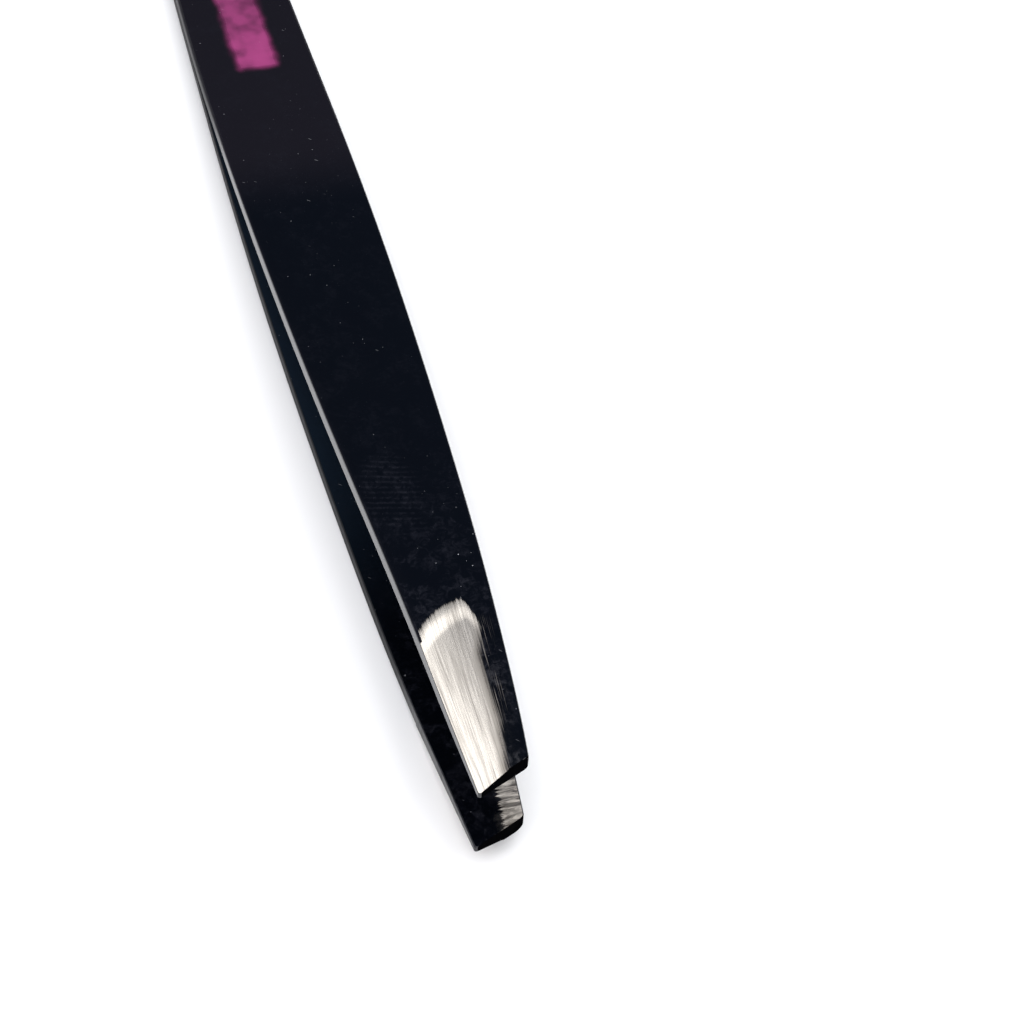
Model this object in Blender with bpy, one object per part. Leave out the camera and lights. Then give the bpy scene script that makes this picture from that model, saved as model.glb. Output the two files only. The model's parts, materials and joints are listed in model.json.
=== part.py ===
"""Slant tweezers: two stamped spring-steel arms, spot-welded back to back at the heel.

Each arm is modelled in two solids, heel and blade, that meet at its flexure, where the steel bends
when the tips are squeezed together.  The tweezers lie on a table: X runs from heel to tip, Y across
the arms and Z up.  Lengths are in millimetres, and put_away() turns them into metres.
"""

from math import atan2, cos, pi, radians, sin

import bmesh
import bpy
from mathutils import Matrix, Vector

MM = 0.001

# Plan view.  A station is a distance from the tip's long corner, along the tweezers.
LENGTH = 95.2
TIP_WIDTH = 3.87
TIP_FLARE = 0.076           # how fast each side edge leaves the centre line at the tip
WIDEST = 9.4
WIDEST_STATION = 63.8
HEEL_WIDTH = 7.8
HEEL_CORNER_RADIUS = 2.9
SLANT = radians(25.0)        # angle of the cut across the tip
TIP_CORNER_CUT = 0.22        # small flat that takes the point off each corner of the tip

# Side view, as the half gap between the inner faces
WELD_GAP = 0.05
SPLAY = 0.0615               # slope of the arm's straight stretch
FLEXURE_STATION = 76.5
FLEXURE_LENGTH = 10.0
BELLY_START = 24.5
BELLY_END = 10.0
TOE_IN = 0.0675              # slope back towards the other arm, from the belly to the tip

# Section
SHEET = 1.34
HEEL_SHEET = 1.05            # the sheet is rolled thinner where it bends
TAPER_START = 48.0
TAPER_END = 74.0
CROWN_FLAT = 0.5             # part of the outer face that is flat, across its width
CROWN_DROP = 0.13
OUTER_EDGE_RADIUS = 0.2
INNER_EDGE_CUT = 0.07

# Ground faces at the tip
PAD_LENGTH = 6.9             # gripping pad on the inner face, along the long side
PAD_OPENING = radians(4.6)   # angle left between a pad and the middle plane when the tips touch
TIP_CLEARANCE = 0.03         # left between the closed tips, each side of the middle plane
TIP_THICKNESS = 0.48         # at the long corner
FACET_LENGTH = 12.5          # ground facet on the outer face, along the long side
FACET_ROLL = 0.25            # how fast the facet rises across the arm, at the tip
FACET_LEVEL_STATION = 14.0   # where it has twisted level

# Heel
SEAM_GAP = 0.06              # between the heel and the blade, at the flexure
NUGGET_STATIONS = (84.2, 89.4)
NUGGET_DIAMETER = 3.0
NUGGET_THICKNESS = 0.8
NUGGET_GAP = 0.05

BLACK_COAT = ((0.010, 0.011, 0.015, 1.0), 0.22, 0.0)
BARE_STEEL = ((0.62, 0.60, 0.57, 1.0), 0.35, 1.0)


def blend_step(t):
    """Smooth step from 0 to 1 with level ends."""
    t = min(max(t, 0.0), 1.0)
    return t * t * (3.0 - 2.0 * t)


def half_width(s):
    """Half the plan width: a flare from the tip to the widest point, then in again to a round heel."""
    tip, widest, heel = TIP_WIDTH / 2, WIDEST / 2, HEEL_WIDTH / 2
    if s < WIDEST_STATION:
        t = s / WIDEST_STATION
        return tip + (widest - tip) * blend_step(t) + TIP_FLARE * s * (1 - t) ** 2
    t = (s - WIDEST_STATION) / (LENGTH - WIDEST_STATION)
    side = widest - (widest - heel) * t * t
    into_corner = max(s - (LENGTH - HEEL_CORNER_RADIUS), 0.0) / HEEL_CORNER_RADIUS
    return side - HEEL_CORNER_RADIUS * (1 - max(1 - into_corner ** 2, 0.0) ** 0.5)


def bend(run, length, turn):
    """Height gained along an arc of the given length that turns the slope by turn, and after it."""
    if run <= 0:
        return 0.0
    if run < length:
        return turn * run * run / (2 * length)
    return turn * (run - length / 2)


def half_gap(s):
    """Height of the inner face above the middle plane: heel, flexure, straight stretch, belly, toe-in."""
    splayed = bend(FLEXURE_STATION + FLEXURE_LENGTH / 2 - s, FLEXURE_LENGTH, SPLAY)
    turned_in = bend(BELLY_START - s, BELLY_START - BELLY_END, SPLAY + TOE_IN)
    return WELD_GAP / 2 + splayed - turned_in


def sheet(s):
    """Thickness of the arm before its tip is ground."""
    return SHEET - (SHEET - HEEL_SHEET) * blend_step((s - TAPER_START) / (TAPER_END - TAPER_START))


def section(s):
    """Closed outline of an arm across a station: flat inner face, crowned outer face, round edges."""
    half = half_width(s)
    low = half_gap(s)
    top = low + sheet(s)
    shoulder = top - CROWN_DROP
    flat = CROWN_FLAT * half
    crown_end = half - OUTER_EDGE_RADIUS
    right = [(half - INNER_EDGE_CUT, low), (half, low + INNER_EDGE_CUT)]
    for step in range(4):
        turn = step * pi / 6
        right.append((crown_end + OUTER_EDGE_RADIUS * cos(turn),
                      shoulder - OUTER_EDGE_RADIUS * (1 - sin(turn))))
    for step in (2, 1, 0):
        part = step / 3
        right.append((flat + (crown_end - flat) * part, top - CROWN_DROP * part * part))
    del right[-3]
    outline = right + [(-y, z) for y, z in reversed(right)]
    return [Vector((LENGTH / 2 - s, y, z)) for y, z in outline]


def stations():
    """Stations to loft through: close together in the bends and in the heel's round corners."""
    flexure_start = FLEXURE_STATION - FLEXURE_LENGTH / 2
    flexure_end = FLEXURE_STATION + FLEXURE_LENGTH / 2
    corner = LENGTH - HEEL_CORNER_RADIUS
    found = []
    for start, end, steps in ((-1.0, BELLY_START, 24), (BELLY_START, flexure_start, 11),
                              (flexure_start, flexure_end, 12), (flexure_end, corner, 4)):
        found += [start + (end - start) * step / steps for step in range(steps)]
    return found + [corner + HEEL_CORNER_RADIUS * sin(step * pi / 16) for step in range(9)]


def loft(rings):
    """Closed solid through rings that all have the same number of points."""
    bm = bmesh.new()
    loops = [[bm.verts.new(point) for point in ring] for ring in rings]
    for ring, following in zip(loops, loops[1:]):
        for here in range(len(ring)):
            ahead = (here + 1) % len(ring)
            bm.faces.new((ring[here], ring[ahead], following[ahead], following[here]))
    bm.faces.new(loops[0])
    bm.faces.new(reversed(loops[-1]))
    bmesh.ops.recalc_face_normals(bm, faces=bm.faces)
    return bm


def trim(bm, point, normal):
    """Cut away what lies on the normal's side of a plane, and close the cut."""
    everything = list(bm.verts) + list(bm.edges) + list(bm.faces)
    cut = bmesh.ops.bisect_plane(bm, geom=everything, dist=1e-6, plane_co=point, plane_no=normal,
                                 clear_outer=True)
    rim = [item for item in cut["geom_cut"] if isinstance(item, bmesh.types.BMEdge)]
    bmesh.ops.edgeloop_fill(bm, edges=rim)
    bmesh.ops.recalc_face_normals(bm, faces=bm.faces)


def subtract(bm, tool):
    """Take one solid out of another with the exact Boolean."""
    pieces = []
    for mesh_data in (bm, tool):
        mesh = bpy.data.meshes.new("temporary")
        mesh_data.to_mesh(mesh)
        piece = bpy.data.objects.new("temporary", mesh)
        bpy.context.collection.objects.link(piece)
        pieces.append(piece)
    modifier = pieces[0].modifiers.new("cut", "BOOLEAN")
    modifier.operation = "DIFFERENCE"
    modifier.solver = "EXACT"
    modifier.object = pieces[1]
    evaluated = pieces[0].evaluated_get(bpy.context.evaluated_depsgraph_get())
    bm.clear()
    bm.from_mesh(evaluated.to_mesh())
    for piece in pieces:
        bpy.data.objects.remove(piece)


def hinge_point():
    """Middle of the sheet at the flexure: the axis that the blade turns about, in the upper arm."""
    low = half_gap(FLEXURE_STATION)
    return Vector((LENGTH / 2 - FLEXURE_STATION, 0.0, low + sheet(FLEXURE_STATION) / 2))


def ground_tip():
    """Where the pad starts at the rest pose, and the angle that brings the tips together.

    The pad is level along the slanted edge when the tips are closed, so it is laid out closed and
    turned back about the flexure.  Its far end, on the long side, meets the inner face at PAD_LENGTH.
    """
    hinge = hinge_point()
    closed_normal = Matrix.Rotation(-PAD_OPENING, 3, Vector((sin(SLANT), -cos(SLANT), 0.0)))
    closed_normal = closed_normal @ Vector((0.0, 0.0, -1.0))
    pad_end = Vector((LENGTH / 2 - PAD_LENGTH, -half_width(PAD_LENGTH), half_gap(PAD_LENGTH)))
    closing = 0.0
    for _ in range(20):
        turn = Matrix.Rotation(closing, 3, "Y")
        normal = turn.inverted() @ closed_normal
        corner = Vector((LENGTH / 2, -TIP_WIDTH / 2, 0.0))
        corner.z = pad_end.z - (corner - pad_end).to_2d().dot(normal.to_2d()) / normal.z
        reach = corner - hinge
        closing += (turn @ reach + hinge).z / reach.x - TIP_CLEARANCE / reach.x
    return corner, normal, closing


def slab(rows, depth):
    """Cutter between a surface, given as rows of two points, and the same surface moved by depth."""
    away = Vector((0.0, 0.0, depth))
    return loft([[left, right, right + away, left + away] for left, right in rows])


def pad_tool():
    """Cutter below the plane of the gripping pad."""
    corner, normal, _ = ground_tip()
    rows = []
    for s in (-2.0, PAD_LENGTH + 2.0):
        row = []
        for y in (-8.0, 8.0):
            point = Vector((LENGTH / 2 - s, y, 0.0))
            point.z = corner.z - (point - corner).to_2d().dot(normal.to_2d()) / normal.z
            row.append(point)
        rows.append(row)
    return slab(rows, -3.0)


def facet_tool():
    """Cutter above the ground facet on the outer face, a surface ruled across the arm."""
    corner, _, _ = ground_tip()
    start = corner.z + TIP_THICKNESS
    finish = half_gap(FACET_LENGTH) + sheet(FACET_LENGTH) - CROWN_DROP * 0.6
    rows = []
    for step in range(17):
        s = -2.0 + step
        rise = (finish - start) * s / FACET_LENGTH
        roll = FACET_ROLL * (1 - s / FACET_LEVEL_STATION)
        edge = -half_width(s)
        rows.append([Vector((LENGTH / 2 - s, edge + reach, start + rise + roll * reach))
                     for reach in (-1.0, 9.0)])
    return slab(rows, 4.0)


def arm():
    """One whole arm, above the middle plane, with its tip cut, its pad ground and its facet ground."""
    bm = loft([section(s) for s in stations()])
    long_corner = Vector((LENGTH / 2, -TIP_WIDTH / 2, 0.0))
    end_normal = Vector((cos(SLANT), sin(SLANT), 0.0))
    trim(bm, long_corner, end_normal)
    subtract(bm, pad_tool())
    subtract(bm, facet_tool())
    short_corner = long_corner + Vector((-sin(SLANT), cos(SLANT), 0.0)) * TIP_WIDTH / cos(SLANT)
    for point, side in ((long_corner, -1.0), (short_corner, 1.0)):
        outward = (end_normal + Vector((0.0, side, 0.0))).normalized()
        trim(bm, point - outward * TIP_CORNER_CUT, outward)
    return bm


def disc(diameter, bottom, top, segments=32):
    """Upright cylinder on the Z axis."""
    radius = diameter / 2
    rings = []
    for z in (bottom, top):
        turns = [2 * pi * step / segments for step in range(segments)]
        rings.append([Vector((radius * cos(turn), radius * sin(turn), z)) for turn in turns])
    return loft(rings)


def nugget_place(s):
    return Matrix.Translation((LENGTH / 2 - s, 0.0, 0.0))


def heel_half():
    """Rear part of an arm, with a shallow pocket in its inner face for each weld nugget."""
    bm = arm()
    trim(bm, Vector((LENGTH / 2 - FLEXURE_STATION - SEAM_GAP / 2, 0.0, 0.0)), Vector((1.0, 0.0, 0.0)))
    for s in NUGGET_STATIONS:
        pocket = disc(NUGGET_DIAMETER + 2 * NUGGET_GAP, -1.0, NUGGET_THICKNESS / 2 + NUGGET_GAP)
        pocket.transform(nugget_place(s))
        subtract(bm, pocket)
    return bm


def blade_half():
    """Front part of an arm, from the flexure to the tip."""
    bm = arm()
    trim(bm, Vector((LENGTH / 2 - FLEXURE_STATION + SEAM_GAP / 2, 0.0, 0.0)), Vector((-1.0, 0.0, 0.0)))
    return bm


def nugget(s):
    """Lens of fused steel that joins the two heels."""
    bm = disc(NUGGET_DIAMETER, -NUGGET_THICKNESS / 2, NUGGET_THICKNESS / 2)
    bm.transform(nugget_place(s))
    return bm


def mirrored(bm):
    """The same piece, below the middle plane."""
    bm.transform(Matrix.Scale(-1.0, 4, Vector((0.0, 0.0, 1.0))))
    bmesh.ops.reverse_faces(bm, faces=bm.faces)
    return bm


def finish_material(name, look):
    colour, roughness, metallic = look
    material = bpy.data.materials.new(name)
    material.use_nodes = True
    shader = material.node_tree.nodes["Principled BSDF"]
    shader.inputs["Base Color"].default_value = colour
    shader.inputs["Roughness"].default_value = roughness
    shader.inputs["Metallic"].default_value = metallic
    material.diffuse_color = colour
    return material


def put_away(name, bm, origin, look, parent):
    """Store a solid as an object whose origin is at the given point of the assembly."""
    bmesh.ops.dissolve_degenerate(bm, dist=1e-4, edges=bm.edges)
    bm.transform(Matrix.Scale(MM, 4) @ Matrix.Translation(-origin))
    mesh = bpy.data.meshes.new(name)
    bm.to_mesh(mesh)
    bm.free()
    mesh.shade_smooth()
    mesh.set_sharp_from_angle(angle=radians(30.0))
    mesh.materials.append(finish_material(name + "_finish", look))
    piece = bpy.data.objects.new(name, mesh)
    bpy.context.collection.objects.link(piece)
    piece.parent = parent
    piece.location = origin * MM
    return piece


def lay_down(table, pieces):
    """Tilt the assembly until its belly and its heel both touch the table, and centre it."""
    corners = [table.matrix_world.inverted() @ piece.matrix_world @ vertex.co
               for piece in pieces for vertex in piece.data.vertices]
    heel = min(corners, key=lambda corner: (round(corner.z + corner.x, 7)))
    tilt = max(atan2(heel.z - corner.z, corner.x - heel.x) for corner in corners
               if corner.x > heel.x + 10 * MM)
    turn = Matrix.Rotation(-tilt, 4, "Y")
    turned = [turn @ corner for corner in corners]
    lowest = [min(corner[axis] for corner in turned) for axis in range(3)]
    highest = [max(corner[axis] for corner in turned) for axis in range(3)]
    table.rotation_euler = (0.0, -tilt, 0.0)
    table.location = (-(lowest[0] + highest[0]) / 2, -(lowest[1] + highest[1]) / 2, -lowest[2])


def build():
    for item in list(bpy.data.objects):
        bpy.data.objects.remove(item)
    table = bpy.data.objects.new("resting_pose", None)
    bpy.context.collection.objects.link(table)

    middle = Vector((0.0, 0.0, 0.0))
    upper_hinge = hinge_point()
    lower_hinge = Vector((upper_hinge.x, 0.0, -upper_hinge.z))
    pieces = [
        put_away("upper_heel", heel_half(), middle, BLACK_COAT, table),
        put_away("upper_blade", blade_half(), upper_hinge, BLACK_COAT, table),
        put_away("lower_heel", mirrored(heel_half()), middle, BLACK_COAT, table),
        put_away("lower_blade", mirrored(blade_half()), lower_hinge, BLACK_COAT, table),
    ]
    for name, s in zip(("weld_nugget_fore", "weld_nugget_aft"), NUGGET_STATIONS):
        pieces.append(put_away(name, nugget(s), middle, BARE_STEEL, table))
    bpy.context.view_layer.update()
    lay_down(table, pieces)
    bpy.context.view_layer.update()


build()
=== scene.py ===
import json
from math import atan2, cos, pi, radians, sin, sqrt, tan

import bmesh
import bpy
from mathutils import Matrix, Vector


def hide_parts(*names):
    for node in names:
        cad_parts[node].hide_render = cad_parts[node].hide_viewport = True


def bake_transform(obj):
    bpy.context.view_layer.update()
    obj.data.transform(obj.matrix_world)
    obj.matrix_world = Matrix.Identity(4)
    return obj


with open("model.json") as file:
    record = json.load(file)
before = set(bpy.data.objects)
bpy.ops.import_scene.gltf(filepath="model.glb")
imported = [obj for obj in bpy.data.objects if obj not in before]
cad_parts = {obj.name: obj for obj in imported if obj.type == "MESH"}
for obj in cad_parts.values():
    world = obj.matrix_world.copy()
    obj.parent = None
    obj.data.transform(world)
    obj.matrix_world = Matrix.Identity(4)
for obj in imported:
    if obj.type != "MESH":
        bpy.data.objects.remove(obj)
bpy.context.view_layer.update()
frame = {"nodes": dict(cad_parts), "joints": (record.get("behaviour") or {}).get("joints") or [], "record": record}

# Lengths are in millimetres until place() sets a point in the frame, in metres.
MM = 0.001

# The arms' shape, as in the CAD.  A station is a distance from the tip's long corner.
LENGTH = 95.2
TIP_WIDTH = 3.87
TIP_FLARE = 0.076
WIDEST = 9.4
WIDEST_STATION = 63.8
HEEL_WIDTH = 7.8
HEEL_CORNER_RADIUS = 2.9
SLANT = radians(25.0)
WELD_GAP = 0.05
SPLAY = 0.0615
FLEXURE_STATION = 76.5
FLEXURE_LENGTH = 10.0
BELLY_START = 24.5
BELLY_END = 10.0
TOE_IN = 0.0675
SHEET = 1.34
HEEL_SHEET = 1.05
TAPER_START = 48.0
TAPER_END = 74.0
CROWN_FLAT = 0.5
CROWN_DROP = 0.13
OUTER_EDGE_RADIUS = 0.2
PAD_LENGTH = 6.9
PAD_OPENING = radians(4.6)
TIP_CLEARANCE = 0.03
TIP_THICKNESS = 0.48
FACET_LENGTH = 12.5
FACET_ROLL = 0.25
FACET_LEVEL_STATION = 14.0

# Finer shape that only the looks have
INNER_EDGE_RADIUS = 0.09
GROUND_EDGE_RADIUS = 0.03
LONG_CORNER_RADIUS = 0.22
SHORT_CORNER_RADIUS = 0.26
SLANT_FADE = 9.0             # how far from the tip the mesh still runs parallel to the slant
FACET_DISH = 0.11            # how much deeper the facet is dished towards its rounded end
# Station, and share of the arm's width that the facet covers there, from the long side
FACET_REACH = ((-1.0, 0.56), (1.0, 0.572), (3.3, 0.627), (5.0, 0.66), (9.8, 0.655), (12.8, 0.745),
               (20.0, 0.745))
FACET_STEP_WIDTH = 0.24      # the little step along the facet's edge on the coat
FACET_PEAK = 0.62            # share of the width where the facet's rounded end reaches furthest
FACET_END = 14.9             # station that it reaches there
FACET_LEFT_DROP = 2.1        # how much less it reaches at the long side's edge
FACET_RIGHT_DROP = 11.0      # and how steeply it falls away on the short side
FACET_END_RUN = 1.7          # length over which the grinding wheel lifts off at that end
FACET_RUN_OUT = 0.06         # height over which the facet runs out softly into the crown
GROUND_END = FACET_LENGTH + 6.0  # station from which nothing of the outer face is ground
PAD_SHAPE_END = PAD_LENGTH + 2.0  # and from which nothing of the inner face is


# ---------------------------------------------------------------- shape of an arm

def blend_step(t):
    """Smooth step from 0 to 1 with level ends."""
    t = min(max(t, 0.0), 1.0)
    return t * t * (3.0 - 2.0 * t)


def half_width(s):
    """Half the plan width, before the heel's corners are rounded."""
    tip, widest, heel = TIP_WIDTH / 2, WIDEST / 2, HEEL_WIDTH / 2
    if s < WIDEST_STATION:
        t = s / WIDEST_STATION
        return tip + (widest - tip) * blend_step(t) + TIP_FLARE * s * (1 - t) ** 2
    t = (s - WIDEST_STATION) / (LENGTH - WIDEST_STATION)
    side = widest - (widest - heel) * t * t
    into_corner = max(s - (LENGTH - HEEL_CORNER_RADIUS), 0.0) / HEEL_CORNER_RADIUS
    return side - HEEL_CORNER_RADIUS * (1 - sqrt(max(1 - into_corner ** 2, 0.0)))


def bend(run, length, turn):
    """Height gained along an arc of the given length that turns the slope by turn, and after it."""
    if run <= 0:
        return 0.0
    if run < length:
        return turn * run * run / (2 * length)
    return turn * (run - length / 2)


def half_gap(s):
    """Height of the inner face above the middle plane."""
    splayed = bend(FLEXURE_STATION + FLEXURE_LENGTH / 2 - s, FLEXURE_LENGTH, SPLAY)
    turned_in = bend(BELLY_START - s, BELLY_START - BELLY_END, SPLAY + TOE_IN)
    return WELD_GAP / 2 + splayed - turned_in


def sheet(s):
    return SHEET - (SHEET - HEEL_SHEET) * blend_step((s - TAPER_START) / (TAPER_END - TAPER_START))


def crown(s, y):
    """Height of the outer face before it is ground."""
    half = half_width(s)
    flat = CROWN_FLAT * half
    over = max(abs(y) - flat, 0.0) / max(half - OUTER_EDGE_RADIUS - flat, 0.05)
    return half_gap(s) + sheet(s) - CROWN_DROP * min(over, 1.0) ** 2


def pad_plane():
    """Long corner of the pad and the pad's downward normal, at rest."""
    hinge = Vector((LENGTH / 2 - FLEXURE_STATION, 0.0,
                    half_gap(FLEXURE_STATION) + sheet(FLEXURE_STATION) / 2))
    closed_normal = Matrix.Rotation(-PAD_OPENING, 3, Vector((sin(SLANT), -cos(SLANT), 0.0)))
    closed_normal = closed_normal @ Vector((0.0, 0.0, -1.0))
    pad_end = Vector((LENGTH / 2 - PAD_LENGTH, -half_width(PAD_LENGTH), half_gap(PAD_LENGTH)))
    closing = 0.0
    for _ in range(20):
        turn = Matrix.Rotation(closing, 3, "Y")
        normal = turn.inverted() @ closed_normal
        corner = Vector((LENGTH / 2, -TIP_WIDTH / 2, 0.0))
        corner.z = pad_end.z - (corner - pad_end).to_2d().dot(normal.to_2d()) / normal.z
        reach = corner - hinge
        closing += ((turn @ reach + hinge).z - TIP_CLEARANCE) / reach.x
    return corner, normal


PAD_CORNER, PAD_NORMAL = pad_plane()
FACET_START = PAD_CORNER.z + TIP_THICKNESS
FACET_FINISH = half_gap(FACET_LENGTH) + sheet(FACET_LENGTH) - CROWN_DROP * 0.6


def pad_height(s, y):
    away = Vector((LENGTH / 2 - s, y)) - PAD_CORNER.to_2d()
    return PAD_CORNER.z - away.dot(PAD_NORMAL.to_2d()) / PAD_NORMAL.z


def inner_height(s, y):
    if s > PAD_SHAPE_END:
        return half_gap(s)
    return max(half_gap(s), pad_height(s, y))


def facet_height(s, y):
    rise = (FACET_FINISH - FACET_START) * s / FACET_LENGTH
    roll = FACET_ROLL * (1 - s / FACET_LEVEL_STATION)
    return FACET_START + rise + roll * (y + half_width(s)) - FACET_DISH * s / FACET_LENGTH


def facet_reach(s):
    """Share of the arm's width that the facet covers, from the long side."""
    for (s0, reach0), (s1, reach1) in zip(FACET_REACH, FACET_REACH[1:]):
        if s0 <= s < s1:
            return reach0 + (reach1 - reach0) * blend_step((s - s0) / (s1 - s0))
    return FACET_REACH[-1][1]


def facet_margin(s, y):
    """How far inside the bare ground facet a point lies, in millimetres."""
    return min(edge_margin(s, y), end_margin(s, y))


def end_margin(s, y):
    """Distance from the facet's rounded end, positive on the facet."""
    half = half_width(s)
    across = (y + half) / (2 * half)
    if across < FACET_PEAK:
        end = FACET_END - FACET_LEFT_DROP * ((FACET_PEAK - across) / FACET_PEAK) ** 1.6
    else:
        end = FACET_END - FACET_RIGHT_DROP * ((across - FACET_PEAK) / (1 - FACET_PEAK)) ** 1.6
    return end - s


def edge_margin(s, y):
    """Distance from the facet's edge on the coat, positive on the facet."""
    half = half_width(s)
    return facet_reach(s) * 2 * half - (y + half)


def outer_height(s, y):
    natural = crown(s, y)
    if s > GROUND_END:
        return natural
    ground = facet_height(s, y)
    near = max(1 - abs(natural - ground) / FACET_RUN_OUT, 0.0)
    depth = max(natural - ground, 0.0) + FACET_RUN_OUT * near * near / 4
    depth *= blend_step(end_margin(s, y) / FACET_END_RUN)
    return natural - depth * blend_step(edge_margin(s, y) / FACET_STEP_WIDTH + 0.5)


# ---------------------------------------------------------------- mesh of an arm

TIP_END_DEPTH = 0.14         # how far the matt finish of the cut end goes round its corner
SHARP_ANGLE = radians(38.0)
SIDE_STEPS = 3
EDGE_STEPS = 6
FACE_STEPS = 44
GROUND_DEPTH = 0.03          # an outer edge cut down by more than this is a sharp ground one
PAD_REFLECTION_EDGE = (0.575, 0.022)    # share of the width where a pad's bare steel starts, and its gain a mm; the pad short of it stays black as a painted reflection of the other arm
PAD_BARE_LENGTH = PAD_LENGTH + 0.12
OUTSIDE, INSIDE, RIM = 1.0, -1.0, 0.0


def tip_corner(u, radius):
    """How far a side edge draws in at a rounded corner of the tip."""
    if u >= radius:
        return 0.0
    return radius * (1 - sqrt(1 - (1 - u / radius) ** 2))


def slanted(u, y, half):
    """Station of a point on a mesh ring: parallel to the slanted cut at the tip, square further on."""
    fade = max(1 - u / SLANT_FADE, 0.0) ** 2
    return u + (y + half) * tan(SLANT) * fade


def edge_column(s, y_edge, side, sign, height, radius_natural):
    """Points up the side face of one edge and round onto the outer (sign 1) or inner (-1) face."""
    face = height(s, y_edge)
    middle = (inner_height(s, y_edge) + outer_height(s, y_edge)) / 2
    ground = sign > 0 and face < crown(s, y_edge) - GROUND_DEPTH
    radius = GROUND_EDGE_RADIUS if ground else radius_natural
    radius = min(radius, abs(face - middle) * 0.8)
    low = face - sign * radius
    column = [(y_edge, middle + (low - middle) * step / SIDE_STEPS) for step in range(SIDE_STEPS)]
    for step in range(EDGE_STEPS):
        turn = step / (EDGE_STEPS - 1) * pi / 2
        column.append((y_edge + side * radius * (cos(turn) - 1), low + sign * radius * sin(turn)))
    return column


def half_ring(u, height, radius, sign):
    """Points of a ring from the middle of the left side, over one face, to the middle of the right."""
    half = half_width(u)
    left = -half + tip_corner(u, LONG_CORNER_RADIUS)
    right = half - tip_corner(u, SHORT_CORNER_RADIUS)
    up = edge_column(slanted(u, left, half), left, -1, sign, height, radius)
    down = edge_column(slanted(u, right, half), right, 1, sign, height, radius)
    start, end = up[-1][0], down[-1][0]
    face = []
    for step in range(1, FACE_STEPS):
        y = start + (end - start) * step / FACE_STEPS
        face.append((y, height(slanted(u, y, half), y)))
    outline = up + face + down[::-1]
    return [(slanted(u, y, half), y, z) for y, z in outline]


def rings():
    """Places of the mesh rings: closer at the tip, round the pad's end, and at the heel's corner."""
    corner = LENGTH - HEEL_CORNER_RADIUS
    spans = ((0.0, 0.36, 12), (0.36, PAD_LENGTH - 0.5, 56), (PAD_LENGTH - 0.5, PAD_LENGTH + 0.5, 24),
             (PAD_LENGTH + 0.5, 17.0, 84), (17.0, 30.0, 35), (30.0, 70.0, 40), (70.0, 83.0, 30),
             (83.0, corner, 12))
    found = []
    for start, end, steps in spans:
        found += [start + (end - start) * step / steps for step in range(steps)]
    return found + [corner + HEEL_CORNER_RADIUS * sin(step * pi / 32) * 0.9995 for step in range(17)]


HEEL_MOUNT = next(mount for mount in frame["record"]["mounts"] if mount["name"] == "heel_underside")
TILT = atan2(HEEL_MOUNT["axis"][0], -HEEL_MOUNT["axis"][2])
TURN = Matrix.Rotation(-TILT, 3, "Y")
HINGES = [Vector(joint["pos_m"]) for joint in frame["joints"]]
LIFT = (HINGES[0] + HINGES[1]) / 2 - TURN @ Vector(((LENGTH / 2 - FLEXURE_STATION) * MM, 0.0, 0.0))


def place(s, y, z):
    """A point of the tweezers in the frame, in metres, tilted as they lie on the table."""
    return TURN @ (Vector((LENGTH / 2 - s, y, z)) * MM) + LIFT


def build_arm(name, sign):
    """One whole arm as a single skin, with what its material needs stored at each point."""
    mesh = bpy.data.meshes.new(name)
    points, lay, facet, edge, pad = [], [], [], [], []
    for u in rings():
        over = half_ring(u, outer_height, OUTER_EDGE_RADIUS, 1)
        under = half_ring(u, inner_height, INNER_EDGE_RADIUS, -1)
        loop = over + under[-2:0:-1]
        size = len(loop)
        for s, y, z in loop:
            points.append(place(s, y, z * sign))
            lay.append((s, y, (y + half_width(s)) / (2 * half_width(s))))
            facet.append(facet_margin(s, y))
            edge.append(edge_margin(s, y))
            # Painted reflection: the pad's part nearer the long side is left as black coat for the dark underside
            # of the other arm.
            start = (PAD_REFLECTION_EDGE[0] + PAD_REFLECTION_EDGE[1] * s) * 2 * half_width(s)
            pad.append(min(PAD_BARE_LENGTH - s, y + half_width(s) - start))
    count, half_size = len(points) // size, size // 2
    flat_start = SIDE_STEPS + EDGE_STEPS - 1
    flat_end = half_size - flat_start
    faces, where, ends = [], [], []
    for ring in range(count - 1):
        for here in range(size):
            a, b = ring * size + here, ring * size + (here + 1) % size
            quad = (a, b, b + size, a + size)
            faces.append(quad if sign > 0 else quad[::-1])
            if flat_start <= here < flat_end:
                where.append(OUTSIDE)
            elif flat_start <= here - half_size < flat_end:
                where.append(INSIDE)
            else:
                where.append(RIM)
                if rings()[ring] < TIP_END_DEPTH and half_size // 2 < here < half_size * 3 // 2:
                    ends.append(len(faces) - 1)
    for base, at_tip in ((0, True), ((count - 1) * size, False)):
        for here in range(half_size):
            corners = (here, here + 1, (size - here - 1) % size, (size - here) % size)
            quad = tuple(dict.fromkeys(base + corner for corner in corners))
            faces.append(quad[::-1] if at_tip == (sign > 0) else quad)
            where.append(RIM)
            if at_tip:
                ends.append(len(faces) - 1)
    mesh.from_pydata(points, [], faces)
    store(mesh, "lay", "FLOAT_VECTOR", "POINT", lay)
    store(mesh, "facet", "FLOAT", "POINT", facet)
    store(mesh, "edge", "FLOAT", "POINT", edge)
    store(mesh, "pad", "FLOAT", "POINT", pad)
    store(mesh, "where", "FLOAT", "FACE", where)
    mesh.materials.append(arm_material(name + "_finish", sign > 0))
    mesh.materials.append(tip_end_material(name + "_tip_end"))
    for face in ends:
        mesh.polygons[face].material_index = 1
    mesh.shade_smooth()
    mesh.set_sharp_from_angle(angle=SHARP_ANGLE)
    arm = bpy.data.objects.new(name, mesh)
    bpy.context.collection.objects.link(arm)
    return arm


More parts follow.
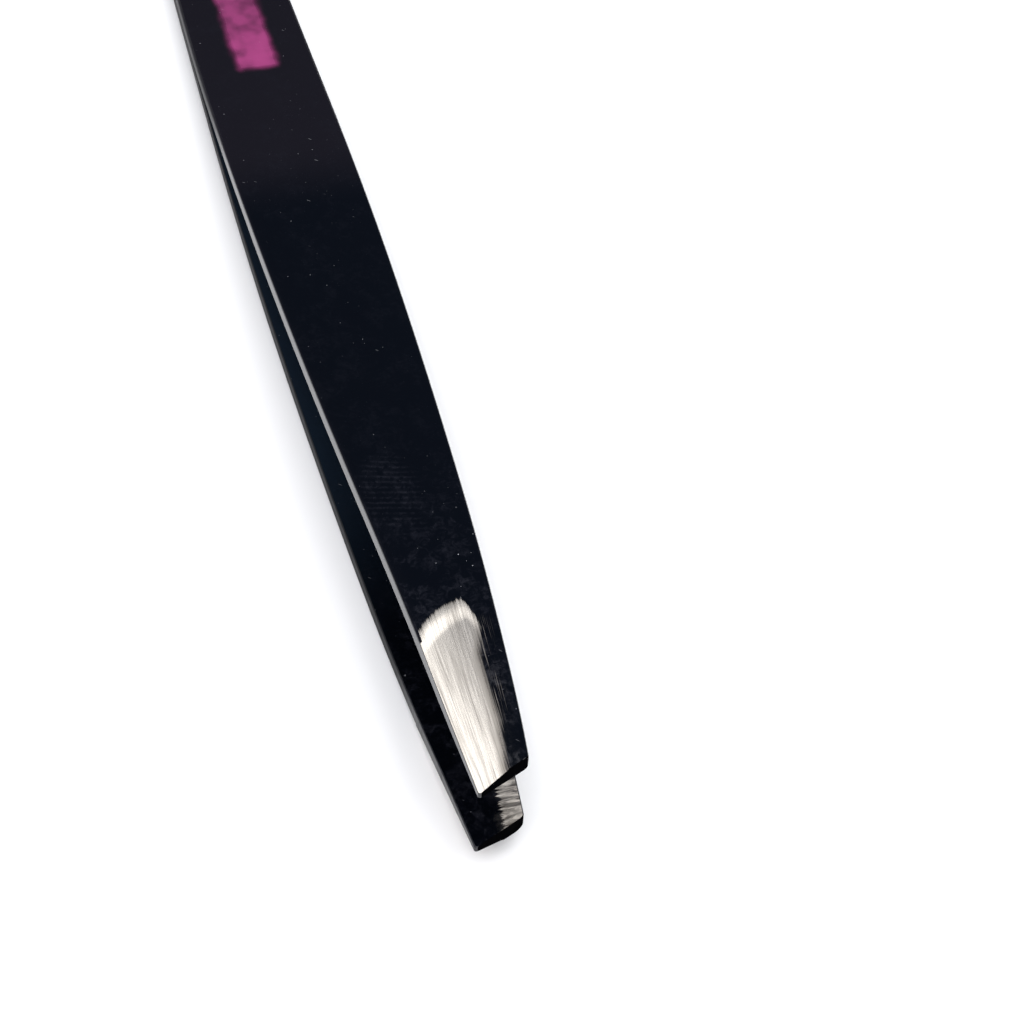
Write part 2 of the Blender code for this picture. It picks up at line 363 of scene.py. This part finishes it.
def store(mesh, name, kind, domain, values):
    attribute = mesh.attributes.new(name, kind, domain)
    if kind == "FLOAT":
        attribute.data.foreach_set("value", values)
    else:
        attribute.data.foreach_set("vector", [part for value in values for part in value])


# ---------------------------------------------------------------- materials

class Nodes:
    """Short ways to add the nodes of one material."""

    def __init__(self, tree):
        self.tree = tree

    def add(self, kind, inputs=(), **settings):
        node = self.tree.nodes.new(kind)
        for name, value in settings.items():
            setattr(node, name, value)
        for socket, value in dict(inputs).items():
            self.feed(node.inputs[socket], value)
        return node

    def feed(self, socket, value):
        if isinstance(value, bpy.types.NodeSocket):
            self.tree.links.new(value, socket)
        else:
            socket.default_value = value

    def attribute(self, name, output="Fac"):
        return self.add("ShaderNodeAttribute", attribute_name=name).outputs[output]

    def math(self, operation, a, b=0.0, c=0.0, clamp=False):
        node = self.add("ShaderNodeMath", {0: a, 1: b, 2: c}, operation=operation, use_clamp=clamp)
        return node.outputs[0]

    def step(self, value, low, high, to_low=0.0, to_high=1.0):
        """Smooth step of value from low to high."""
        node = self.add("ShaderNodeMapRange", {"Value": value, "From Min": low, "From Max": high,
                                               "To Min": to_low, "To Max": to_high},
                        interpolation_type="SMOOTHSTEP")
        return node.outputs["Result"]

    def point(self, x, y, z=0.0):
        return self.add("ShaderNodeCombineXYZ", {"X": x, "Y": y, "Z": z}).outputs[0]

    def noise(self, vector, scale, detail=2.0, roughness=0.5, distortion=0.0):
        node = self.add("ShaderNodeTexNoise", {"Vector": vector, "Scale": scale, "Detail": detail,
                                               "Roughness": roughness, "Distortion": distortion})
        return node.outputs["Fac"]

    def specks(self, vector, size, share):
        """Round marks of about that size, in that share of the texture's cells."""
        node = self.add("ShaderNodeTexVoronoi", {"Vector": vector, "Scale": 1.0})
        chosen = self.add("ShaderNodeSeparateColor", {"Color": node.outputs["Color"]})
        kept = self.math("GREATER_THAN", chosen.outputs["Red"], 1.0 - share)
        radius = self.math("MULTIPLY", chosen.outputs["Green"], size)
        inside = self.math("SUBTRACT", radius, node.outputs["Distance"])
        mark = self.math("MULTIPLY", inside, 3.0 / size, clamp=True)
        return self.math("MULTIPLY", mark, kept)

    def colours(self, factor, a, b):
        node = self.add("ShaderNodeMix", {"Factor": factor, "A": a, "B": b}, data_type="RGBA")
        return [socket for socket in node.outputs if socket.type == "RGBA"][0]

    def scaled(self, vector, scale):
        return self.add("ShaderNodeVectorMath", {0: vector, 1: scale}, operation="MULTIPLY").outputs[0]

    def both(self, first, *others):
        for other in others:
            first = self.math("MULTIPLY", first, other)
        return first

    def without(self, value):
        return self.math("SUBTRACT", 1.0, value)

    def either(self, a, b):
        return self.math("MAXIMUM", a, b)


COAT_COLOUR = (0.0009, 0.0013, 0.0024, 1.0)
COAT_HEEL_REFLECTION_COLOUR = (0.0062, 0.0052, 0.0072, 1.0)    # painted reflection: the coat near the heel, lighter and warmer
INSIDE_REFLECTION_COLOUR = (0.007, 0.012, 0.020, 1.0)     # painted reflection: the coat between the arms, bluer
COAT_HAZE_COLOUR = (0.0125, 0.0130, 0.0185, 1.0)
STEEL_COLOUR = (0.85, 0.79, 0.705, 1.0)
STEEL_DARK_COLOUR = (0.30, 0.27, 0.235, 1.0)
DUST_COLOUR = (0.55, 0.56, 0.60, 1.0)
PRINT_COLOUR = (0.29, 0.038, 0.150, 1.0)
PRINT_WORN_COLOUR = (0.12, 0.020, 0.068, 1.0)

# Marks of grinding: waves of noise a millimetre along, and a width (facet) or millimetre (pad) across
FACET_FINE, FACET_BROAD = (0.16, 46.0), (0.10, 11.0)
PAD_FINE, PAD_BROAD = (3.6, 0.55), (2.2, 0.4)
FACET_FEATHER = 0.8              # how far the facet's edge wanders, in millimetres
PAD_FEATHER = 1.6
STRAY_STRENGTH = 0.45            # stray scratches on the coat beside the facet
SCATTER, PAD_SCATTER = 0.23, 0.22    # how far light marks are from a mirror, and what pads add
MARK_DEPTH = 0.000012            # bump, in metres
MARK_BUMP = 0.9

# Places on the arm are (station, distance across), in millimetres
PRINT_CENTRE = (78.9, 0.1)
PRINT_HALF_SIZE = (5.3, 1.9)
PRINT_CORNER = 0.6
FINGERTIP = (41.0, 2.4)          # where the ridges of the fingerprint centre
FINGERTIP_MIDDLE = (25.4, -1.4)  # middle of the part that is left of it
FINGERTIP_REACH = (4.8, 2.6)
RIDGE_SPACING = 0.50
DUST_MIDDLE, DUST_REACH = (18.0, 0.5), (6.0, 4.5)
FACE_GAP = 7.0                   # keeps the marks of the outer and the inner face apart


def oval(nodes, s, y, middle, reach):
    """1 at the middle of an oval patch, falling to 0 at its edge."""
    along = nodes.math("MULTIPLY", nodes.math("SUBTRACT", s, middle[0]), 1.0 / reach[0])
    across = nodes.math("MULTIPLY", nodes.math("SUBTRACT", y, middle[1]), 1.0 / reach[1])
    squared = nodes.math("ADD", nodes.both(along, along), nodes.both(across, across))
    return nodes.step(squared, 0.15, 1.0, 1.0, 0.0)


def streaks(nodes, along, across, scale, place, detail, roughness, distortion=0.0):
    """Noise drawn out along or across the arm."""
    point = nodes.point(nodes.both(along, scale[0]), nodes.both(across, scale[1]), place)
    return nodes.noise(point, 1.0, detail, roughness, distortion)


def wandering(nodes, margin, noise, reach):
    """A margin whose zero wanders to and fro with the noise."""
    return nodes.math("MULTIPLY_ADD", nodes.math("SUBTRACT", noise, 0.5), reach, margin)


def facet_steel(nodes, s, across):
    """Where the facet is bare, how light its marks are with painted shade near its edge and end, and their height.
    """
    facet, edge = nodes.attribute("facet"), nodes.attribute("edge")
    fine = streaks(nodes, s, across, FACET_FINE, 0.0, 3.0, 0.65)
    broad = streaks(nodes, s, across, FACET_BROAD, 4.0, 2.0, 0.5)
    ground = nodes.step(wandering(nodes, facet, fine, FACET_FEATHER), -0.20, 0.30)
    beside = nodes.both(nodes.step(edge, -1.2, -0.1), nodes.step(s, 4.0, 7.0),
                        nodes.step(s, 13.6, 11.0), nodes.step(edge, 0.5, 0.1))
    stray = nodes.both(nodes.step(fine, 0.53, 0.64), beside, STRAY_STRENGTH)
    light = nodes.math("ADD", nodes.step(fine, 0.30, 0.60, 0.0, 0.65),
                       nodes.step(broad, 0.30, 0.55, 0.0, 0.35))
    # Painted shade: the steel is darker near the facet's edge on the coat and towards its rounded end, where the
    # facet turns away from the light.
    painted_edge_shade = nodes.both(nodes.step(edge, 0.75, 0.10), nodes.step(s, 13.5, 10.0, 0.1, 0.85))
    return nodes.either(ground, stray), nodes.both(light, nodes.without(painted_edge_shade)), nodes.both(fine, 0.2)


def pad_steel(nodes, s, y):
    """The same for a gripping pad, whose marks run across the arm."""
    fine = streaks(nodes, s, y, PAD_FINE, 9.0, 4.0, 0.68, 0.3)
    broad = streaks(nodes, s, y, PAD_BROAD, 2.0, 2.0, 0.5, 0.2)
    ground = nodes.step(wandering(nodes, nodes.attribute("pad"), fine, PAD_FEATHER), -0.12, 0.16)
    light = nodes.math("ADD", nodes.step(fine, 0.42, 0.60, 0.0, 0.7), nodes.step(broad, 0.4, 0.6, 0.0, 0.3))
    return ground, light, fine


def handling_marks(nodes, s, y, where, outside, rim):
    """Hazy smears, the ridges of a fingerprint, and dust with short scratches."""
    flat = nodes.point(s, y, nodes.both(where, FACE_GAP))
    cloud = nodes.noise(flat, 0.42, 4.0, 0.6, 0.6)
    fine_cloud = nodes.noise(flat, 1.7, 4.0, 0.65, 1.2)
    towards_tip = nodes.math("MULTIPLY_ADD", nodes.step(s, 34.0, 12.0), 0.8, 0.2)
    haze = nodes.both(nodes.step(nodes.both(cloud, fine_cloud), 0.22, 0.42), towards_tip)

    away = nodes.add("ShaderNodeVectorMath", {0: flat, 1: (*FINGERTIP, FACE_GAP)}, operation="DISTANCE")
    turns = nodes.both(away.outputs["Value"], 2 * pi / RIDGE_SPACING)
    wavy = nodes.math("MULTIPLY_ADD", nodes.noise(flat, 0.35, 1.0), 4.0, turns)
    finger = nodes.both(oval(nodes, s, y, FINGERTIP_MIDDLE, FINGERTIP_REACH),
                        nodes.step(fine_cloud, 0.35, 0.65))
    ridges = nodes.both(nodes.step(nodes.math("SINE", wavy), -0.2, 0.9), finger, outside)

    dust = nodes.either(nodes.specks(nodes.scaled(flat, (1.9, 1.9, 1.9)), 0.16, 0.10),
                        nodes.specks(nodes.scaled(flat, (4.3, 4.3, 4.3)), 0.22, 0.05))
    turned = nodes.add("ShaderNodeVectorRotate", {"Vector": flat, "Angle": 0.9},
                       rotation_type="Z_AXIS").outputs[0]
    scratches = nodes.specks(nodes.scaled(turned, (1.3, 8.0, 1.0)), 0.26, 0.016)
    patches = nodes.step(nodes.noise(flat, 0.30, 2.0), 0.42, 0.62, 0.25, 1.0)
    dusty = nodes.math("MULTIPLY_ADD", oval(nodes, s, y, DUST_MIDDLE, DUST_REACH), 0.75, 0.25)
    specks = nodes.both(nodes.either(dust, scratches), patches, dusty, nodes.without(rim))
    return flat, haze, ridges, specks


def arm_material(name, printed):
    """The gloss coat with its marks, the bare steel, and on the upper arm the printed bar."""
    material = bpy.data.materials.new(name)
    material.use_nodes = True
    nodes = Nodes(material.node_tree)
    shader = material.node_tree.nodes["Principled BSDF"]
    where = nodes.attribute("where")
    outside = nodes.math("GREATER_THAN", where, 0.5)
    inside = nodes.math("LESS_THAN", where, -0.5)
    rim = nodes.math("COMPARE", where, 0.0, 0.1)
    parts = nodes.add("ShaderNodeSeparateXYZ", {0: nodes.attribute("lay", "Vector")}).outputs
    s, y, across = parts["X"], parts["Y"], parts["Z"]
    facet_bare, facet_light, facet_marks = facet_steel(nodes, s, across)
    pad_bare, pad_light, pad_marks = pad_steel(nodes, s, y)
    bare, light, marks = (
        nodes.math("ADD", nodes.both(on_facet, outside), nodes.both(on_pad, inside))
        for on_facet, on_pad in ((facet_bare, pad_bare), (facet_light, pad_light), (facet_marks, pad_marks)))
    flat, haze, ridges, specks = handling_marks(nodes, s, y, where, outside, rim)

    # Painted reflections: the coat is lighter and warmer towards the heel, and bluer on the inner faces away from
    # the tip.
    colour = nodes.colours(nodes.both(nodes.step(s, 56.0, 64.0), nodes.without(inside)),
                           COAT_COLOUR, COAT_HEEL_REFLECTION_COLOUR)
    colour = nodes.colours(nodes.both(nodes.step(s, 18.0, 40.0), inside), colour, INSIDE_REFLECTION_COLOUR)
    colour = nodes.colours(nodes.both(haze, 0.55), colour, COAT_HAZE_COLOUR)
    colour = nodes.colours(nodes.both(ridges, 0.34), colour, COAT_HAZE_COLOUR)
    if printed:
        colour, ink = add_print(nodes, s, y, outside, colour)
    colour = nodes.colours(specks, colour, DUST_COLOUR)
    # The steel's lightness follows its marks, and on the facet also the painted shade near its edge and end.
    steel = nodes.colours(light, STEEL_DARK_COLOUR, STEEL_COLOUR)
    nodes.feed(shader.inputs["Base Color"], nodes.colours(bare, colour, steel))
    scatter = nodes.both(light, nodes.math("MULTIPLY_ADD", inside, PAD_SCATTER, SCATTER))
    nodes.feed(shader.inputs["Metallic"], nodes.both(bare, nodes.without(scatter)))

    # The side faces are duller: on the upper arm towards the heel, on the lower arm behind the tip
    side = nodes.step(s, 60.0, 72.0, 0.0, 0.45) if printed else nodes.step(s, 12.0, 18.0, 0.28, 0.60)
    coat_roughness = nodes.math("MULTIPLY_ADD", haze, 0.14, 0.075)
    for mark, roughness in ((ridges, 0.10), (specks, 0.5), (rim, side)):
        coat_roughness = nodes.math("MULTIPLY_ADD", mark, roughness, coat_roughness)
    if printed:
        coat_roughness = nodes.math("MULTIPLY_ADD", ink, 0.28, coat_roughness)
    steel_roughness = nodes.step(light, 0.0, 1.0, 0.36, 0.24)
    steel_roughness = nodes.math("MULTIPLY_ADD", nodes.both(inside, light), 0.34, steel_roughness)
    bare_share = nodes.both(bare, nodes.math("SUBTRACT", steel_roughness, coat_roughness))
    nodes.feed(shader.inputs["Roughness"], nodes.math("ADD", coat_roughness, bare_share))

    ripple = nodes.both(nodes.noise(flat, 0.9, 2.0), 0.25)
    height = nodes.math("ADD", nodes.both(bare, marks), nodes.both(nodes.without(bare), ripple))
    bump = nodes.add("ShaderNodeBump", {"Height": height, "Distance": MARK_DEPTH, "Strength": MARK_BUMP})
    nodes.feed(shader.inputs["Normal"], bump.outputs[0])
    return material


def add_print(nodes, s, y, outside, colour):
    """A plain pink bar printed on the upper arm near the heel, worn soft at its edges."""
    along = nodes.math("SUBTRACT", nodes.math("ABSOLUTE", nodes.math("SUBTRACT", s, PRINT_CENTRE[0])),
                       PRINT_HALF_SIZE[0] - PRINT_CORNER)
    across = nodes.math("SUBTRACT", nodes.math("ABSOLUTE", nodes.math("SUBTRACT", y, PRINT_CENTRE[1])),
                        PRINT_HALF_SIZE[1] - PRINT_CORNER)
    beyond = nodes.point(nodes.either(along, 0.0), nodes.either(across, 0.0))
    corner = nodes.add("ShaderNodeVectorMath", {0: beyond}, operation="LENGTH")
    wear = nodes.noise(nodes.point(s, y, 3.0), 0.8, 1.5, 0.4)
    distance = nodes.math("MULTIPLY_ADD", wear, 0.5, corner.outputs["Value"])
    shape = nodes.step(distance, 0.10, 1.15, 1.0, 0.0)
    ink = nodes.both(shape, shape, outside)
    worn = nodes.math("ADD", nodes.step(wear, 0.4, 0.8, 0.0, 0.5),
                      nodes.step(s, 75.0, 84.0, 0.0, 0.45))
    mottled = nodes.colours(worn, PRINT_COLOUR, PRINT_WORN_COLOUR)
    return nodes.colours(ink, colour, mottled), ink


TIP_END_COLOUR = (0.0006, 0.0006, 0.0008, 1.0)
TIP_END_LIGHT_COLOUR = (0.0025, 0.0025, 0.003, 1.0)
WELD_COLOUR = (0.36, 0.34, 0.32, 1.0)
WELD_LIGHT_COLOUR = (0.66, 0.64, 0.60, 1.0)
HEAT_COLOUR = (0.20, 0.15, 0.16, 1.0)


def tip_end_material(name):
    """The cut end of a tip: matt black, with fine marks of the cut."""
    material = bpy.data.materials.new(name)
    material.use_nodes = True
    nodes = Nodes(material.node_tree)
    shader = material.node_tree.nodes["Principled BSDF"]
    parts = nodes.add("ShaderNodeSeparateXYZ", {0: nodes.attribute("lay", "Vector")}).outputs
    cut = nodes.noise(nodes.point(nodes.both(parts["Y"], 12.0), parts["X"]), 1.0, 3.0)
    nodes.feed(shader.inputs["Base Color"], nodes.colours(cut, TIP_END_COLOUR, TIP_END_LIGHT_COLOUR))
    nodes.feed(shader.inputs["Roughness"], nodes.step(cut, 0.2, 0.8, 0.5, 0.75))
    shader.inputs["Specular IOR Level"].default_value = 0.0
    return material


def weld_material():
    """Fused steel, grainy, with patches tinted by the heat."""
    material = bpy.data.materials.new("fused_steel")
    material.use_nodes = True
    nodes = Nodes(material.node_tree)
    shader = material.node_tree.nodes["Principled BSDF"]
    spot = nodes.add("ShaderNodeTexCoord").outputs["Object"]
    grain = nodes.noise(spot, 2400.0, 4.0, 0.6, 0.5)
    heat = nodes.noise(spot, 500.0, 2.0)
    steel = nodes.colours(grain, WELD_COLOUR, WELD_LIGHT_COLOUR)
    tinted = nodes.colours(nodes.step(heat, 0.5, 0.7), steel, HEAT_COLOUR)
    nodes.feed(shader.inputs["Base Color"], tinted)
    shader.inputs["Metallic"].default_value = 1.0
    nodes.feed(shader.inputs["Roughness"], nodes.step(grain, 0.2, 0.8, 0.3, 0.55))
    bump = nodes.add("ShaderNodeBump", {"Height": grain, "Distance": 0.00003, "Strength": 0.8})
    nodes.feed(shader.inputs["Normal"], bump.outputs[0])
    return material


# ---------------------------------------------------------------- studio

ROOM_COLOUR = (0.045, 0.060, 0.100, 1.0)
ROOM_LIGHT_COLOUR = (0.15, 0.15, 0.21, 1.0)
# Panels of light: centre and size in metres, and radiance
PANELS = {"overhead": ((0.1225, 0.0, 0.60), (0.815, 1.00), 2.0),
          "long_side": ((0.55, -0.60, 0.28), (0.45, 0.16), 1.4),
          "short_side": ((0.15, 0.80, 0.30), (0.50, 0.16), 1.4)}
FILL_SPREAD = radians(120.0)
FILL_STRENGTH = 2.1
FLOOR_RADIUS = 4.0
FLOOR_COLOUR = (0.88, 0.88, 0.88, 1.0)



def set_world():
    """A dim room, a little lighter on the long side of the slant, so that the gloss coat stays black."""
    world = bpy.data.worlds.new("studio")
    bpy.context.scene.world = world
    world.use_nodes = True
    nodes = Nodes(world.node_tree)
    toward = nodes.add("ShaderNodeTexCoord").outputs["Generated"]
    parts = nodes.add("ShaderNodeSeparateXYZ", {0: toward}).outputs
    colour = nodes.colours(nodes.step(parts["Y"], 0.1, -0.6), ROOM_COLOUR, ROOM_LIGHT_COLOUR)
    nodes.feed(world.node_tree.nodes["Background"].inputs["Color"], colour)


def softbox(name, centre, size, radiance):
    """A panel light that faces down or, if it stands to one side, the tweezers.

    Its strength is its radiance, as bright as it looks when seen.
    """
    data = bpy.data.lights.new(name, "AREA")
    data.shape = "RECTANGLE"
    data.size, data.size_y = size
    data.energy = radiance * pi * size[0] * size[1]
    light = bpy.data.objects.new(name, data)
    bpy.context.collection.objects.link(light)
    light.location = centre
    if abs(centre[0]) + abs(centre[1]) > centre[2]:
        light.rotation_euler = Vector(centre).to_track_quat("Z", "Y").to_euler()


def set_lights():
    for name, (centre, size, radiance) in PANELS.items():
        softbox(name, centre, size, radiance)
    data = bpy.data.lights.new("room_fill", "SUN")
    data.angle = FILL_SPREAD
    data.energy = FILL_STRENGTH
    fill = bpy.data.objects.new("room_fill", data)
    bpy.context.collection.objects.link(fill)
    fill.visible_glossy = False


def set_floor():
    mesh = bpy.data.meshes.new("floor")
    bm = bmesh.new()
    bmesh.ops.create_circle(bm, cap_ends=True, segments=64, radius=FLOOR_RADIUS)
    bm.to_mesh(mesh)
    bm.free()
    floor = bpy.data.objects.new("floor", mesh)
    bpy.context.collection.objects.link(floor)
    material = bpy.data.materials.new("pale_floor")
    material.use_nodes = True
    shader = material.node_tree.nodes["Principled BSDF"]
    shader.inputs["Base Color"].default_value = FLOOR_COLOUR
    shader.inputs["Roughness"].default_value = 0.8
    shader.inputs["Specular IOR Level"].default_value = 0.2
    mesh.materials.append(material)


def set_camera():
    """The view: from beyond the tips, above, and a little to the long side of the slant."""
    data = bpy.data.cameras.new("camera")
    camera = bpy.data.objects.new("camera", data)
    bpy.context.collection.objects.link(camera)
    bpy.context.scene.camera = camera
    data.sensor_width = 36.0
    data.lens = 123.05
    data.clip_start = 0.01
    eye = Vector((176.866, -44.38, 184.841)) * MM
    right = TURN @ Vector((0.26498, 0.96304, 0.0483))
    down = TURN @ Vector((0.73166, -0.16818, -0.6606))
    forward = TURN @ Vector((-0.62806, 0.21039, -0.74919))
    turn = Matrix((right, -down, -forward)).transposed().to_4x4()
    camera.matrix_world = Matrix.Translation(TURN @ eye + LIFT) @ turn


# ---------------------------------------------------------------- the scene

set_camera()
set_world()
set_lights()
set_floor()
bpy.context.scene.view_settings.view_transform = "Standard"

upper = build_arm("upper_arm_skin", 1)
lower = build_arm("lower_arm_skin", -1)
for arm, body, solids in ((upper, "upper_arm", ("upper_heel", "upper_blade")),
                          (lower, "lower_arm", ("lower_heel", "lower_blade"))):
    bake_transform(arm)
    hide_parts(*solids)

weld = weld_material()
for name in ("weld_nugget_fore", "weld_nugget_aft"):
    for slot in frame["nodes"][name].material_slots:
        slot.material = weld
